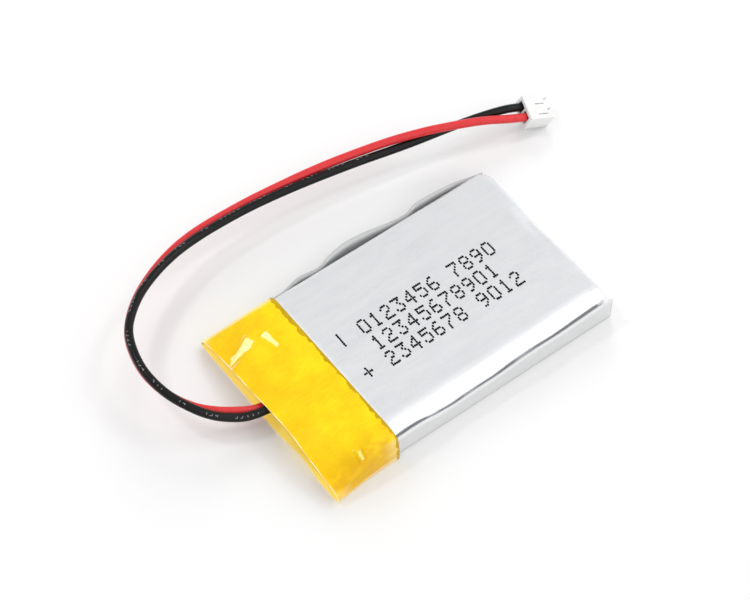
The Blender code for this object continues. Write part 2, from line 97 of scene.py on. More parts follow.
# route of the lead pair: x, y, z of the middle, half the spacing, turn of the black lead round the red one
LEAD_ROUTE = [
    (-24.0, 0.9, 2.75, 1.00, 180),
    (-26.9, 0.9, 3.0, 0.76, 150),
    (-29.5, 1.2, 3.4, 0.75, 155),
    (-31.9, 2.0, 4.0, 0.75, 166),
    (-35.0, 3.8, 5.0, 0.75, 154),
    (-37.5, 6.5, 5.9, 0.75, 128),
    (-39.4, 10.6, 6.6, 0.75, 112),
    (-40.0, 15.8, 7.2, 0.75, 99),
    (-38.7, 21.3, 7.5, 0.75, 88),
    (-36.1, 25.0, 7.5, 0.75, 75),
    (-31.6, 28.5, 7.2, 0.75, 60),
    (-25.3, 31.3, 6.8, 0.75, 40),
    (-18.5, 32.8, 6.3, 0.75, 22),
    (-9.3, 33.1, 5.8, 0.75, 16),
    (-0.8, 32.5, 5.5, 0.75, 4),
    (7.4, 31.4, 5.3, 0.76, -18),
    (15.5, 29.8, 5.2, 0.76, -32),
    (23.4, 27.8, 5.2, 0.75, -80),
    (28.6, 26.3, 5.2, 0.75, -118),
    (33.8, 24.7, 5.0, 0.80, -155),
    (38.1, 23.3, 4.4, 0.95, -188),
]
PLUG_SPIN = -193  # the pair's turn where it enters the plug
LEAD_POINTS = 180


# ---- camera, light and floor ----

CAMERA_TARGET = Vector((-1.7, 6.97, 3.0))
CAMERA_AZIMUTH, CAMERA_HEIGHT, CAMERA_ROLL = 36.65, 55.03, -0.47
CAMERA_DISTANCE = 386.9
LENS, SENSOR = 116.2, 36.0
FLOOR_HALF = 1500.0


def camera():
    azimuth, height, roll = radians(CAMERA_AZIMUTH), radians(CAMERA_HEIGHT), radians(CAMERA_ROLL)
    forward = Vector((sin(azimuth) * cos(height), cos(azimuth) * cos(height), -sin(height)))
    right = Vector((cos(azimuth), -sin(azimuth), 0))
    up = right.cross(forward)
    right, up = right * cos(roll) + up * sin(roll), up * cos(roll) - right * sin(roll)
    turn = Matrix((right, up, -forward)).transposed()
    data = bpy.data.cameras.new("camera")
    data.lens, data.sensor_width = LENS, SENSOR
    data.clip_start, data.clip_end = 0.01, 10
    cam = bpy.data.objects.new("camera", data)
    bpy.context.scene.collection.objects.link(cam)
    cam.matrix_world = Matrix.Translation((CAMERA_TARGET - forward * CAMERA_DISTANCE) * MM) @ turn.to_4x4()
    bpy.context.scene.camera = cam


def softbox(name, direction, distance, size, watts):
    """A square soft light that looks at the middle of the pack from a direction."""
    data = bpy.data.lights.new(name, "AREA")
    data.shape = "SQUARE"
    data.size = size * MM
    data.energy = watts
    lamp = bpy.data.objects.new(name, data)
    bpy.context.scene.collection.objects.link(lamp)
    away = Vector(direction).normalized()
    lamp.location = away * distance * MM
    lamp.rotation_mode = "QUATERNION"
    lamp.rotation_quaternion = away.to_track_quat("Z", "Y")
    return lamp


# radiance of the white tent round the pack, by how far a direction points to its bright side (its cosine),
# and the factor by how high the direction points
TENT_BRIGHT_SIDE = Vector((0.25, -0.7, 0.67)).normalized()
TENT = [(0.0, 0.72), (0.36, 0.71), (0.5, 0.82), (0.61, 1.03), (0.73, 1.05), (0.83, 1.44)]
TENT_BY_HEIGHT = [(0.0, 1.35), (0.3, 1.25), (0.65, 1.02), (1.0, 0.97)]


def colour_ramp(tree, source, stops):
    """Colours by value; stops are (position, (r, g, b) or grey level)."""
    ramp = tree.nodes.new("ShaderNodeValToRGB")
    elements = ramp.color_ramp.elements
    while len(elements) < len(stops):
        elements.new(0.5)
    for element, (position, colour) in zip(elements, stops):
        element.position = position
        colour = (colour,) * 3 if isinstance(colour, (int, float)) else colour
        element.color = (*colour, 1)
    tree.links.new(source, ramp.inputs["Fac"])
    return ramp.outputs["Color"]


def light_ramp(tree, source, stops):
    """A grey ramp scaled so that its brightest stop is 1, and that stop's value."""
    brightest = max(value for _, value in stops)
    return colour_ramp(tree, source, [(position, value / brightest) for position, value in stops]), brightest


def studio():
    softbox("light_right", (0.62, -0.07, 0.78), 450, 64, 0.16)
    # the low light behind the pack gives the soft shadows on the floor; it is left out of reflections
    softbox("light_back", (0.5, 0.68, 0.54), 450, 200, 0.52).visible_glossy = False
    softbox("light_left", (-0.3397, 0.4241, 0.8396), 450, 60, 0.245)
    world = bpy.data.worlds.new("studio")
    bpy.context.scene.world = world
    world.use_nodes = True
    tree = world.node_tree
    place = tree.nodes.new("ShaderNodeTexCoord").outputs["Generated"]
    dot = tree.nodes.new("ShaderNodeVectorMath")
    dot.operation = "DOT_PRODUCT"
    dot.inputs[1].default_value = TENT_BRIGHT_SIDE
    tree.links.new(place, dot.inputs[0])
    split = tree.nodes.new("ShaderNodeSeparateXYZ")
    tree.links.new(place, split.inputs[0])
    side, side_most = light_ramp(tree, dot.outputs["Value"], TENT)
    height, height_most = light_ramp(tree, split.outputs["Z"], TENT_BY_HEIGHT)
    both = tree.nodes.new("ShaderNodeVectorMath")
    both.operation = "MULTIPLY"
    tree.links.new(side, both.inputs[0])
    tree.links.new(height, both.inputs[1])
    back = tree.nodes["Background"]
    back.inputs["Strength"].default_value = side_most * height_most
    tree.links.new(both.outputs["Vector"], back.inputs["Color"])
    bpy.context.scene.view_settings.view_transform = "Standard"
    bpy.context.scene.view_settings.look = "None"


FLOOR_ALBEDO = 0.775
FLOOR_DROP = 0.02  # below the pack's underside, so that the two don't flicker


def floor():
    mesh = bpy.data.meshes.new("floor")
    h, low = FLOOR_HALF * MM, -FLOOR_DROP * MM
    mesh.from_pydata([(-h, -h, low), (h, -h, low), (h, h, low), (-h, h, low)], [], [(0, 1, 2, 3)])
    mat = bpy.data.materials.new("floor_acrylic")
    mat.use_nodes = True
    shader = mat.node_tree.nodes["Principled BSDF"]
    shader.inputs["Base Color"].default_value = (*(FLOOR_ALBEDO,) * 3, 1)
    shader.inputs["Roughness"].default_value = 0.8
    shader.inputs["Specular IOR Level"].default_value = 0.0
    mesh.materials.append(mat)
    obj = bpy.data.objects.new("floor", mesh)
    bpy.context.scene.collection.objects.link(obj)


# ---- mesh helpers ----


def piece(name, verts, faces, mats, stands_for=(), smooth=True):
    """A mesh piece from millimetre points that rides on the pack."""
    mesh = bpy.data.meshes.new(name)
    mesh.from_pydata([Vector(v) * MM for v in verts], [], faces)
    mesh.update()
    mesh.polygons.foreach_set("use_smooth", [smooth] * len(mesh.polygons))
    for mat in mats:
        mesh.materials.append(mat)
    obj = bpy.data.objects.new(name, mesh)
    bpy.context.scene.collection.objects.link(obj)
    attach(obj, "root")
    if stands_for:
        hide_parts(*stands_for)
    return obj


def solidify(obj, thickness, offset=0.0, rim=0):
    mod = obj.modifiers.new("thickness", "SOLIDIFY")
    mod.thickness = thickness * MM
    mod.offset = offset
    mod.use_quality_normals = True
    mod.material_offset_rim = rim


def grid_faces(rows, size, wrap=True):
    """Quads between rows of points; wrap joins each row's end to its start."""
    last = size if wrap else size - 1
    return [(r * size + i, r * size + (i + 1) % size, (r + 1) * size + (i + 1) % size, (r + 1) * size + i)
            for r in range(rows - 1) for i in range(last)]


def catmull(p, t):
    """Point at t between the middle two of four values, on the smooth curve through all four."""
    a, b, c, d = p
    return 0.5 * (2 * b + (c - a) * t + (2 * a - 5 * b + 4 * c - d) * t * t
                  + (3 * b - a - 3 * c + d) * t ** 3)


def reading(table, x):
    """Smooth reading of a table of (x, values...), with level ends."""
    if x <= table[0][0]:
        return table[0][1:]
    if x >= table[-1][0]:
        return table[-1][1:]
    k = max(i for i in range(len(table) - 1) if table[i][0] <= x)
    t = (x - table[k][0]) / (table[k + 1][0] - table[k][0])
    rows = [table[max(k - 1, 0)], table[k], table[k + 1], table[min(k + 2, len(table) - 1)]]
    return [catmull(column, t) for column in list(zip(*rows))[1:]]


def closed_curve(points, count):
    """count points on the smooth closed curve through the given ones."""
    n = len(points)
    out = []
    for k in range(count):
        u = n * k / count
        i, t = int(u), u - int(u)
        rows = [points[(i + j - 1) % n] for j in range(4)]
        out.append([catmull(column, t) for column in zip(*rows)])
    return out


def bell(value, middle, width):
    return exp(-((value - middle) / width) ** 2)


def ease(t):
    t = min(max(t, 0.0), 1.0)
    return t * t * (3 - 2 * t)


def poly_curve(name, points, radius, resolution, paint):
    """A round bead of curve through millimetre points; gives its object and its spline."""
    curve = bpy.data.curves.new(name, "CURVE")
    curve.dimensions = "3D"
    curve.bevel_depth = radius * MM
    curve.bevel_resolution = resolution
    spline = curve.splines.new("POLY")
    spline.points.add(len(points) - 1)
    for place, point in zip(spline.points, points):
        place.co = (*(Vector(point) * MM), 1.0)
    spline.use_smooth = True
    curve.materials.append(paint)
    obj = bpy.data.objects.new(name, curve)
    bpy.context.scene.collection.objects.link(obj)
    return obj, spline


# ---- materials ----


class Paint:
    """A Principled material with a few shorthands for its nodes."""

    def __init__(self, name, colour, rough, metal=0.0, spec=0.5):
        self.mat = bpy.data.materials.new(name)
        self.mat.use_nodes = True
        self.tree = self.mat.node_tree
        self.shader = self.tree.nodes["Principled BSDF"]
        self.shader.inputs["Base Color"].default_value = (*colour, 1)
        self.shader.inputs["Roughness"].default_value = rough
        self.shader.inputs["Metallic"].default_value = metal
        self.shader.inputs["Specular IOR Level"].default_value = spec
        self.place = self.node("ShaderNodeTexCoord").outputs["Object"]
        self.height = None

    def node(self, kind, **values):
        made = self.tree.nodes.new(kind)
        for key, value in values.items():
            setattr(made, key, value)
        return made

    def link(self, start, end):
        self.tree.links.new(start, end)

    def stretched(self, scale):
        mapping = self.node("ShaderNodeMapping")
        mapping.inputs["Scale"].default_value = scale
        self.link(self.place, mapping.inputs["Vector"])
        return mapping.outputs["Vector"]

    def noise(self, size_mm, detail=2.0, stretch=(1, 1, 1)):
        """A noise field whose blotches are about size_mm across, from 0 to 1."""
        made = self.node("ShaderNodeTexNoise")
        made.inputs["Scale"].default_value = 1.0
        made.inputs["Detail"].default_value = detail
        scale = 1 / (size_mm * MM)
        self.link(self.stretched(tuple(scale * s for s in stretch)), made.inputs["Vector"])
        return made.outputs["Fac"]

    def ramp(self, source, stops):
        return colour_ramp(self.tree, source, stops)

    def feed(self, sockets, values):
        """Sets each socket to its number or colour, or links it."""
        for socket, value in zip(sockets, values):
            if isinstance(value, (int, float)):
                socket.default_value = value
            elif isinstance(value, tuple):
                socket.default_value = (*value, 1)
            else:
                self.link(value, socket)

    def math(self, operation, *values):
        made = self.node("ShaderNodeMath", operation=operation)
        self.feed(made.inputs, values)
        return made.outputs[0]

    def product(self, first, *others):
        for other in others:
            first = self.math("MULTIPLY", first, other)
        return first

    def inverse(self, value):
        """1 less the value."""
        return self.math("SUBTRACT", 1.0, value)

    def mix(self, factor, a, b):
        made = self.node("ShaderNodeMix", data_type="RGBA")
        self.feed((made.inputs["Factor"], made.inputs[6], made.inputs[7]), (factor, a, b))
        return made.outputs[2]

    def axis(self, name):
        split = self.node("ShaderNodeSeparateXYZ")
        self.link(self.place, split.inputs[0])
        return split.outputs[name]

    def step(self, source, low, high):
        """0 below low and 1 above high, smooth between."""
        made = self.node("ShaderNodeMapRange", interpolation_type="SMOOTHSTEP")
        made.inputs["From Min"].default_value = low
        made.inputs["From Max"].default_value = high
        self.link(source, made.inputs["Value"])
        return made.outputs["Result"]

    def band(self, source, low_mm, high_mm):
        """The same for a place in millimetres."""
        return self.step(source, low_mm * MM, high_mm * MM)

    def bump(self, source, depth_mm, strength=1.0):
        made = self.node("ShaderNodeBump")
        made.inputs["Distance"].default_value = depth_mm * MM
        made.inputs["Strength"].default_value = strength
        self.link(source, made.inputs["Height"])
        if self.height is not None:
            self.link(self.height, made.inputs["Normal"])
        self.height = made.outputs["Normal"]
        self.link(self.height, self.shader.inputs["Normal"])

    def colour(self, source):
        self.link(source, self.shader.inputs["Base Color"])

    def rough(self, source, low, high):
        spread = self.node("ShaderNodeMapRange")
        spread.inputs["To Min"].default_value = low
        spread.inputs["To Max"].default_value = high
        self.link(source, spread.inputs["Value"])
        self.link(spread.outputs["Result"], self.shader.inputs["Roughness"])


def foil_paint():
    """Nylon-faced aluminium laminate: satin, rolled along the cell, greyer where the seal was pressed; the
    far seal also carries painted shade, darkest towards its base, and the near seam's gap a painted dark line
    of shade.
    """
    p = Paint("pouch_foil", (0.78, 0.79, 0.81), 0.34, 1.0)
    streak = p.noise(0.8, 3, (0.14, 1, 1))
    grain = p.noise(0.14, 2, (0.6, 1, 1))
    cloud = p.noise(6, 2)
    tone = p.mix(0.4, p.ramp(streak, [(0.3, (0.875, 0.895, 0.92)), (0.7, (0.94, 0.957, 0.98))]),
                 p.ramp(grain, [(0.35, (0.82, 0.84, 0.865)), (0.65, (0.98, 0.99, 1.0))]))
    tone = p.mix(0.2, tone, p.ramp(cloud, [(0.35, (0.865, 0.885, 0.91)), (0.65, (0.95, 0.965, 0.98))]))
    y, far_wall, near_wall = p.axis("Y"), CELL_Y + CUP_HALF, CELL_Y - CUP_HALF
    far_seal = p.band(y, far_wall + 0.25, far_wall + 0.45)
    near_seal = p.inverse(p.band(y, near_wall - 0.28, near_wall - 0.14))
    tone = p.mix(near_seal, tone, (0.66, 0.665, 0.67))
    # painted shade: a dark line in the gap between the near wall and its seam
    painted_gap_shade = p.product(p.band(y, near_wall - 0.2, near_wall - 0.16),
                    p.inverse(p.band(y, near_wall - 0.11, near_wall - 0.07)))
    tone = p.mix(p.product(painted_gap_shade, 0.8), tone, (0.12, 0.12, 0.125))
    # the far seal: greyer where pressed, plus painted shade that darkens it towards its base
    painted_seal_shade = p.ramp(p.band(p.axis("Z"), 2.2, 4.1), [(0.0, (0.17, 0.175, 0.175)), (1.0, (0.5, 0.51, 0.505))])
    p.colour(p.mix(p.product(far_seal, 0.95), tone, painted_seal_shade))
    p.rough(streak, 0.31, 0.38)
    p.link(p.inverse(p.product(p.math("ADD", far_seal, near_seal), 0.6)), p.shader.inputs["Metallic"])
    p.bump(grain, 0.01, 0.3)
    p.bump(streak, 0.018, 0.22)
    return p.mat


def tape_paint():
    """Amber polyester film tape: glossy, partly see-through, paler at its folds as painted reflections and
    highlights, and painted paler and glowing in its lower sheet as light coming through.
    """
    p = Paint("amber_tape", (0.97, 0.72, 0.01), 0.07, 0.0, 0.27)
    x, y, z = (p.axis(a) for a in "XYZ")
    normal = p.node("ShaderNodeSeparateXYZ")
    p.link(p.node("ShaderNodeTexCoord").outputs["Normal"], normal.inputs[0])
    facing = normal.outputs["Y"]

    cloud = p.noise(5, 3)
    body = p.ramp(cloud, [(0.32, (0.92, 0.56, 0.001)), (0.5, (0.97, 0.655, 0.002)),
                          (0.7, (1.0, 0.77, 0.006))])
    lines = p.noise(0.3, 2, (0.14, 1, 1))
    body = p.mix(0.25, body, p.ramp(lines, [(0.3, (0.9, 0.54, 0.002)), (0.7, (1.0, 0.88, 0.02))]))
    near = p.inverse(p.band(y, -16.8, -11.8))
    patches = p.step(p.noise(2.2, 3), 0.22, 0.66)
    body = p.mix(p.product(near, patches, 0.85), body, (0.75, 0.41, 0.0))

    # the folded sides, the far fold painted paler as a reflection, and the inside of the lower sheet
    far_side = p.step(facing, 0.32, 0.62)
    body = p.mix(p.product(far_side, 0.75), body, (0.98, 0.9, 0.55))
    near_side = p.inverse(p.step(facing, -0.85, -0.5))
    upper = p.band(z, 1.3, 2.8)
    # painted light: the inside of the lower sheet made paler as if lit through the upper film
    inner = p.product(p.inverse(upper), p.inverse(near_side))
    body = p.mix(inner, body, (0.96, 0.88, 0.3))
    brown = p.product(near_side, p.ramp(patches, [(0.0, 0.35), (1.0, 0.8)]))
    body = p.mix(brown, body, (0.72, 0.42, 0.01))
    # painted reflection of the floor: the near side's low rim made pale
    rim = p.product(near_side, p.inverse(p.band(z, 0.7, 1.5)))
    body = p.mix(p.product(rim, 0.85), body, (0.8, 0.7, 0.5))
    # painted highlights: the near side made pale near its two ends
    painted_end_highlights = p.math("MAXIMUM", p.band(x, -18.8, -16.2), p.inverse(p.band(x, -26.6, -24.4)))
    body = p.mix(p.product(near_side, painted_end_highlights, 0.3), body, (1.0, 0.85, 0.45))
    # painted glow standing in for the light that comes through the upper film on to the lower one
    p.link(p.product(inner, 0.27), p.shader.inputs["Emission Strength"])
    p.shader.inputs["Emission Color"].default_value = (0.96, 0.74, 0.09, 1)

    # the strip that is stuck to the pouch's face, brown behind a wavy line
    shift = p.math("MULTIPLY_ADD", p.noise(1.6, 4), 1.9 * MM, -0.95 * MM)
    shift = p.math("ADD", shift, p.product(p.band(y, 5.0, 9.0), 0.22 * MM))
    stuck = p.band(p.math("ADD", x, shift), -16.0, -15.86)
    patchy = p.ramp(p.noise(2.4, 2), [(0.35, 0.78), (0.6, 1.0)])
    p.colour(p.mix(p.product(stuck, patchy), body, (0.5, 0.31, 0.0)))
    p.bump(lines, 0.012, 0.2)
    p.bump(p.noise(3.5, 2), 0.04, 0.25)
    p.bump(stuck, -0.03, 0.5)

    clear = p.node("ShaderNodeBsdfTransparent")
    clear.inputs["Color"].default_value = (1.0, 0.86, 0.4, 1)
    opacity = p.node("ShaderNodeMapRange")
    opacity.inputs["To Min"].default_value = 0.7
    opacity.inputs["To Max"].default_value = 0.86
    p.link(p.product(upper, p.band(x, -26.5, -22.5)), opacity.inputs["Value"])
    blend = p.node("ShaderNodeMixShader")
    p.link(opacity.outputs["Result"], blend.inputs["Fac"])
    p.link(clear.outputs[0], blend.inputs[1])
    p.link(p.shader.outputs[0], blend.inputs[2])
    p.link(blend.outputs[0], p.tree.nodes["Material Output"].inputs["Surface"])
    return p.mat


def edge_highlight_paint():
    """The film's cut edge, painted paler than its faces as a highlight along it."""
    p = Paint("tape_cut_edge_highlight", (1.0, 0.86, 0.45), 0.3, 0.0, 0.6)
    p.colour(p.ramp(p.noise(0.8, 2), [(0.3, (1.0, 0.88, 0.5)), (0.7, (1.0, 0.95, 0.75))]))
    return p.mat


def insulation_paint(name, colour, pale, rough, spec):
    """Extruded insulation: satin, with faint die lines along it and small scuffs."""
    p = Paint(name, colour, rough, 0.0, spec)
    scuff = p.noise(0.7, 4)
    fine = p.noise(0.12, 2)
    p.colour(p.mix(0.5, p.ramp(scuff, [(0.35, colour), (0.8, pale)]),
                   p.ramp(fine, [(0.3, colour), (0.75, pale)])))
    p.rough(scuff, rough - 0.07, rough + 0.1)
    p.bump(fine, 0.02, 0.3)
    return p.mat


def simple_paint(name, colour, rough, metal=0.0, vary=0.12, size=0.6, depth=0.01, spec=0.5):
    """A plain material with a light mottle in its colour, roughness and surface."""
    p = Paint(name, colour, rough, metal, spec)
    mottle = p.noise(size, 3)
    low = tuple(c * (1 - vary) for c in colour)
    high = tuple(min(1.0, c * (1 + vary) + 0.01) for c in colour)
    p.colour(p.ramp(mottle, [(0.3, low), (0.7, high)]))
    p.rough(mottle, max(0.05, rough - 0.06), min(1.0, rough + 0.08))
    p.bump(mottle, depth, 0.4)
    return p.mat


# ---- pouch ----


def cup_outline():
    """Points round the cup in plan: (corner centre, outward direction, tag, turn through a corner)."""
    back, foot, half = CUP_BACK_X + CORNER, FOOT_X - FOIL / 2 - CORNER, CUP_HALF - CORNER
    along = [back + (foot - back) * k / 72 for k in range(73)]
    across = [half * (1 - k / 14) for k in range(29)]
    arc = [90 * (k + 1) / 9 for k in range(8)]
    points = [((x, half), (0, 1), "far", 1) for x in along]
    points += [((foot, half), (sin(radians(a)), cos(radians(a))), "foot_far", 1 - a / 90) for a in arc]
    points += [((foot, y), (1, 0), "foot", 0) for y in across]
    points += [((foot, -half), (cos(radians(a)), -sin(radians(a))), "foot_near", a / 90) for a in arc]
    points += [((x, -half), (0, -1), "near", 1) for x in reversed(along)]
    points += [((back, -half), (-sin(radians(a)), -cos(radians(a))), "back_near", 1 - a / 90) for a in arc]
    points += [((back, y), (-1, 0), "back", 0) for y in reversed(across)]
    points += [((back, half), (-cos(radians(a)), sin(radians(a))), "back_far", a / 90) for a in arc]
    return points


def edge_distance(x, y):
    """Distance in from the cup's outline, for a point measured from the cell's middle line."""
    middle, reach = (CUP_BACK_X + FOOT_X) / 2, (FOOT_X - CUP_BACK_X) / 2
    dx, dy = abs(x - middle) - (reach - CORNER), abs(y) - (CUP_HALF - CORNER)
    return CORNER - hypot(max(dx, 0.0), max(dy, 0.0)) - min(max(dx, dy), 0.0)


def face_height(x, y):
    """Height of the printed face: flat, easing down to its near side, pressed in under the tape."""
    wave = 0.02 * sin(0.21 * x + 0.9) * sin(0.17 * y + 0.4) + 0.006 * sin(0.5 * x - 0.3 * y)
    wave += 0.015 * sin(0.33 * y + 0.05 * x + 1.2)
    press = 0.1 * ease((TAPE_EDGE_X + 0.3 - x) / 0.5)
    near = max(0.0, -y - 12.7 - 0.1 * sin(0.25 * x + 1.0))
    droop = 0.062 * near * near * ease((x - TAPE_EDGE_X + 3) / 5)
    return POUCH_TOP - FOIL / 2 - 0.02 + wave - press - droop


def shoulder_dents(x, y):
    """How far the shoulder is pushed in at its dents and creases."""
    inside = edge_distance(x, y)
    edge = ease((SHOULDER_IN + 1.2 - inside) / 2.6)
    dent = 0.0
    if x > FOOT_X - 6:
        dent += 0.55 * bell(y, 2.4, 3.7) * ease((3.1 - inside) / 1.9)
        dent += (0.16 * bell(y, -3.5, 2.2) + 0.12 * bell(y, -10.5, 2.2) + 0.08 * bell(y, 12.8, 1.8)) * edge
    if y < -10:
        dent += (0.05 * bell(x, 20, 3.5) + 0.06 * bell(x, 7, 3) + 0.04 * bell(x, -3, 3)) * edge
    if y > 10:
        dent += (0.03 * bell(x, 17, 4) + 0.04 * bell(x, 3, 4) + 0.03 * bell(x, -9, 3)) * edge
    return dent


def flange_path(tag, x, turn):
    """The cup's seal flange beyond the wall, as (outwards, height) pairs from the wall's foot."""
    if tag in ("near", "far"):
        height, lean = reading(NEAR_SEAM if tag == "near" else FAR_SEAM, x)
        off = NEAR_GAP if tag == "near" else FAR_GAP
        return [(0.04, 0.42), (0.12, 0.27), (0.6 * off, 0.24), (off - 0.06, 0.34), (off + 0.04 * lean, 0.6),
                (off + 0.16 * lean, 0.25 * height + 0.2), (off + 0.42 * lean, 0.5 * height),
                (off + 0.72 * lean, 0.76 * height), (off + lean, height - 0.03)]
    if tag == "foot":
        return [(0, 0.5), (0, 0.4), (0, 0.3), (0, 0.2), (-0.02, 0.14), (-0.05, 0.1), (-0.1, 0.08),
                (-0.2, 0.07), (-0.35, 0.066)]
    if tag == "back":
        flat = 0.6
        reach = CUP_BACK_X - SEAL_END_X
        path = [(0.05, flat + 0.2), (0.15, flat + 0.06), (0.35, flat)]
        return path + [(reach * t, flat) for t in (0.2, 0.35, 0.5, 0.65, 0.82, 1.0)]
    if tag.startswith("back"):
        rise = [0.42, 0.28, 0.24, 0.26, 0.3, 0.4, 0.5, 0.6, 0.7]
        reach = [0.04, 0.14, 0.26, 0.36, 0.42, 0.45, 0.47, 0.49, 0.5]
        return [(r * (0.4 + 0.6 * turn) + 0.3 * (1 - turn) * k / 8, h * turn + 0.6 * (1 - turn))
                for k, (r, h) in enumerate(zip(reach, rise))]
    side, foot = flange_path("near", FOOT_X, 1), flange_path("foot", x, 0)
    share = turn ** 3
    return [(a * share + c * (1 - share), b * share + d * (1 - share)) for (a, b), (c, d) in zip(side, foot)]


INNER_RINGS, SHOULDER_RINGS, WALL_RINGS = 26, 14, 5
NEAR_GAP, FAR_GAP = 0.15, 0.46  # from the cup's wall to the seal flange folded up beside it


def pouch_shell(foil):
    """The drawn half of the pouch: printed face, rounded shoulder, walls and its layer of the seal flange."""
    outline = cup_outline()
    size = len(outline)
    start, end = CUP_BACK_X + 9, FOOT_X - 9
    inset_max = CORNER - 0.05
    verts = []
    for r in range(INNER_RINGS):
        share = r / INNER_RINGS
        for (cx, cy), (ox, oy), _, _ in outline:
            ex, ey = cx + ox * (CORNER - inset_max), cy + oy * (CORNER - inset_max)
            mx = min(max(ex, start), end)
            x, y = mx + (ex - mx) * share, ey * share
            verts.append((x, y + CELL_Y, face_height(x, y) - shoulder_dents(x, y)))
    for r in range(SHOULDER_RINGS + 1):
        inset = inset_max * (1 - sin(pi / 2 * r / SHOULDER_RINGS))
        for (cx, cy), (ox, oy), _, _ in outline:
            x, y = cx + ox * (CORNER - inset), cy + oy * (CORNER - inset)
            t = max(0.0, 1 - inset / SHOULDER_IN)
            squareness = 3.4 + 1.2 * oy  # the near shoulder is the roundest
            drop = SHOULDER_DOWN * (1 - sqrt(max(0.0, 1 - t ** squareness)))
            dent = shoulder_dents(x, y)
            back = 0.45 * dent * t
            z = face_height(x, y) - drop - dent * (1 - 0.6 * t)
            verts.append((x - ox * back, y + CELL_Y - oy * back, z))
    for r in range(1, WALL_RINGS + 1):
        share = r / WALL_RINGS
        for (cx, cy), (ox, oy), tag, _ in outline:
            x, y = cx + ox * CORNER, cy + oy * CORNER
            dent = shoulder_dents(x, y)
            top = face_height(x, y) - SHOULDER_DOWN - 0.4 * dent
            foot = 0.85 if tag == "back" else 0.6
            back = 0.45 * dent * (1 - share)
            verts.append((x - ox * back, y + CELL_Y - oy * back, top + (foot - top) * share))
    paths = [flange_path(tag, cx + ox * CORNER, turn) for (cx, _), (ox, _), tag, turn in outline]
    for k in range(len(paths[0])):
        for path, ((cx, cy), (ox, oy), _, _) in zip(paths, outline):
            out, height = path[k]
            verts.append((cx + ox * (CORNER + out), cy + oy * (CORNER + out) + CELL_Y, height))
    rings = len(verts) // size
    obj = piece("pouch_shell", verts, grid_faces(rings, size), [foil], ["pouch_cup"])
    close_middle(obj, size)
    solidify(obj, FOIL)


def close_middle(obj, size):
    """Welds the innermost ring, which lies on a line along the cell, into a seam."""
    bm = bmesh.new()
    bm.from_mesh(obj.data)
    bm.verts.ensure_lookup_table()
    bmesh.ops.remove_doubles(bm, verts=bm.verts[:size], dist=0.02 * MM)
    bmesh.ops.dissolve_degenerate(bm, edges=bm.edges, dist=0.005 * MM)
    bmesh.ops.recalc_face_normals(bm, faces=bm.faces)
    bm.to_mesh(obj.data)
    bm.free()


def pouch_cover_skin(foil):
    """The flat half of the laminate, folded up outside the seam on both long sides."""
    last = FOOT_X - 0.1
    stations = [SEAL_END_X + (last - SEAL_END_X) * k / 110 for k in range(111)]
    verts = []
    far_half, near_half = CUP_HALF + FAR_GAP + 0.16, CUP_HALF + NEAR_GAP + 0.16
    for x in stations:
        foot = ease((x - (FOOT_X - 0.9)) / 0.8)
        low = 0.18 - 0.12 * ease((x + 15.6) / 0.6)
        near_h, near_lean = reading(NEAR_SEAM, x)
        far_h, far_lean = reading(FAR_SEAM, x)
        if x < -16.3:
            fade = ease((-16.3 - x) / 1.2)
            near_h, far_h = near_h + (0.7 - near_h) * fade, far_h + (0.7 - far_h) * fade
            near_lean, far_lean = near_lean * (1 - fade), far_lean * (1 - fade)
        near_h, far_h = near_h * (1 - 0.06 * foot), far_h * (1 - 0.08 * foot)
        far_side = [(far_half + far_lean * t, far_h * h + low * (1 - h)) for t, h in
                    ((1, 1), (0.72, 0.76), (0.42, 0.5), (0.16, 0.28), (0.04, 0.16))]
        near_side = [(-near_half - near_lean * t, near_h * h + low * (1 - h)) for t, h in
                     ((0.04, 0.16), (0.16, 0.28), (0.42, 0.5), (0.72, 0.76), (1, 1))]
        turn = [(0.3 * (1 - cos(radians(a))), low + 0.3 * (1 - sin(radians(a)))) for a in (20, 45, 70, 90)]
        row = far_side + [(far_half - inwards, z) for inwards, z in turn]
        row += [(CUP_HALF * t, low) for t in (1, 0.8, 0.5, 0.2, -0.2, -0.5, -0.8, -1)]
        row += [(inwards - near_half, z) for inwards, z in reversed(turn)] + near_side
        verts += [(x, y + CELL_Y, z) for y, z in row]
    size = len(verts) // len(stations)
    obj = piece("pouch_cover_skin", verts, grid_faces(len(stations), size, wrap=False), [foil],
                ["pouch_cover"])
    solidify(obj, FOIL)


# ---- printed marks ----

DIGITS = {
    "0": "01110 10001 10001 10001 10001 10001 01110",
    "1": "00100 01100 00100 00100 00100 00100 01110",
    "2": "01110 10001 00001 00110 01000 10000 11111",
    "3": "11111 00010 00100 00010 00001 10001 01110",
    "4": "00010 00110 01010 10010 11111 00010 00010",
    "5": "11111 10000 11110 00001 00001 10001 01110",
    "6": "00110 01000 10000 11110 10001 10001 01110",
    "7": "11111 00001 00010 00100 01000 01000 01000",
    "8": "01110 10001 10001 01110 10001 10001 01110",
    "9": "01110 10001 10001 01111 00001 00010 01100",
}
PRINT_LINES = ["0123456 7890", "12345678901", "2345678 9012"]
PRINT_START = [(-8.0, 3.6), (-8.05, -0.1), (-8.05, -3.75)]  # upper left dot of each line's first digit
CHAR_PITCH, DOT_ACROSS, DOT_DOWN = 2.264, 0.335, 0.41
DOT_HALF_W, DOT_HALF_H = 0.17, 0.223
MINUS_BACK, PLUS_BACK = 3.8, 3.9  # from the first digit of the upper and lower line back to each mark
INK = 0.025


